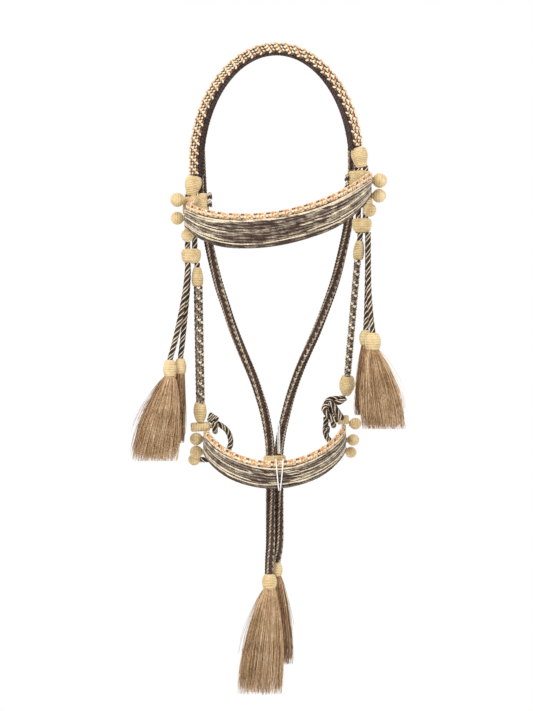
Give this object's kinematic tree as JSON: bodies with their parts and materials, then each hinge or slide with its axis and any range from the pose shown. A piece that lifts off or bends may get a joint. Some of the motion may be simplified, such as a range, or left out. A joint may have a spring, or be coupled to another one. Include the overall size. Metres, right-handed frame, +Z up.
{
  "type": "rope halter",
  "caption": "Hand-braided cord headstall with woven browband and noseband, cheek straps, throat ropes, crocheted knots and hair tassels, for leading a horse.",
  "frame": {"origin": "underside of the crown strap at the top of its arch, where a peg or the horse's poll carries it", "axes": "+Z up along the hanging halter, -Y towards the face side with the browband, +X to the wearer's left seen from the front as right"},
  "size_m": [0.3755, 0.1549, 0.905],
  "materials": {
    "braid": "matte",
    "lining": "matte",
    "crochet": "matte",
    "woven_band": "matte",
    "piping": "matte",
    "dark_cord": "matte",
    "rope": "matte",
    "hair": "satin",
    "white_thread": "matte"
  },
  "bodies": {
    "headstall": {"crown_braid": "braid", "crown_lining": "lining", "left_crown_knot": "crochet", "right_crown_knot": "crochet", "left_hanger_cords": "dark_cord", "right_hanger_cords": "dark_cord", "left_fork_keeper": "crochet", "right_fork_keeper": "crochet", "browband": "woven_band", "browband_piping": "piping", "left_browband_wrap": "crochet", "right_browband_wrap": "crochet", "left_browband_collar": "crochet", "right_browband_collar": "crochet", "left_collar_knots": "dark_cord", "right_collar_knots": "dark_cord", "left_browband_balls": "crochet", "right_browband_balls": "crochet"},
    "left_cheek": {"left_cheek_link": "dark_cord", "left_cheek_top_knot": "crochet", "left_cheek_band": "woven_band", "left_cheek_piping": "piping", "left_cheek_bottom_knot": "crochet", "left_tie_knot": "dark_cord", "left_tie_cord": "dark_cord", "left_tie_ball": "crochet"},
    "right_cheek": {"right_cheek_link": "dark_cord", "right_cheek_top_knot": "crochet", "right_cheek_band": "woven_band", "right_cheek_piping": "piping", "right_cheek_bottom_knot": "crochet", "right_tie_strands": "dark_cord", "right_tie_knot": "dark_cord", "right_tie_cord": "dark_cord", "right_tie_ball": "crochet"},
    "noseband_set": {"noseband": "woven_band", "noseband_piping": "piping", "left_noseband_wrap": "crochet", "right_noseband_wrap": "crochet", "left_noseband_bar": "crochet", "right_noseband_bar": "crochet", "left_noseband_balls": "crochet", "right_noseband_balls": "crochet", "noseband_thread": "white_thread"},
    "left_tassels": {"left_front_tassel_cord": "dark_cord", "left_back_tassel_cord": "dark_cord", "left_tassel_knots": "crochet", "left_tassel_hair": "hair"},
    "right_tassels": {"right_front_tassel_cord": "dark_cord", "right_back_tassel_cord": "dark_cord", "right_tassel_knots": "crochet", "right_tassel_hair": "hair"},
    "throat_ropes": {"left_throat_rope": "rope", "right_throat_rope": "rope", "rope_thread": "white_thread", "throat_knots": "crochet", "throat_hair": "hair"},
    "keeper": {"throat_keeper": "crochet"}
  },
  "joints": [
    {"name": "left_cheek_swing", "type": "hinge", "parent": "headstall", "child": "left_cheek", "pos_m": [-0.111, 0, -0.2962], "axis": [0.9829, 0, 0.1841], "range_deg": [-35, 10]},
    {"name": "right_cheek_swing", "type": "hinge", "parent": "headstall", "child": "right_cheek", "pos_m": [0.117, 0, -0.2535], "axis": [0.9829, 0, 0.1841], "range_deg": [-35, 10]},
    {"name": "noseband_lift", "type": "hinge", "parent": "left_cheek", "child": "noseband_set", "pos_m": [-0.10761, 0.02777, -0.52197], "axis": [-0.9988, 0, -0.0494], "range_deg": [0, 60]},
    {"name": "left_tassel_swing", "type": "hinge", "parent": "headstall", "child": "left_tassels", "pos_m": [-0.124, 0, -0.2962], "axis": [0, 1, 0], "range_deg": [0, 45]},
    {"name": "right_tassel_swing", "type": "hinge", "parent": "headstall", "child": "right_tassels", "pos_m": [0.128, 0, -0.2535], "axis": [0, -1, 0], "range_deg": [0, 45]},
    {"name": "throat_swing", "type": "hinge", "parent": "headstall", "child": "throat_ropes", "pos_m": [0, 0.02, -0.132], "axis": [1, 0, 0], "range_deg": [0, 45]},
    {"name": "throat_keeper_slide", "type": "slide", "parent": "throat_ropes", "child": "keeper", "axis": [0, 0, -1], "range_m": [0, 0.065]}
  ],
  "couplings": [
    {"joint": "right_cheek_swing", "follows": "left_cheek_swing", "ratio": 1}
  ]
}
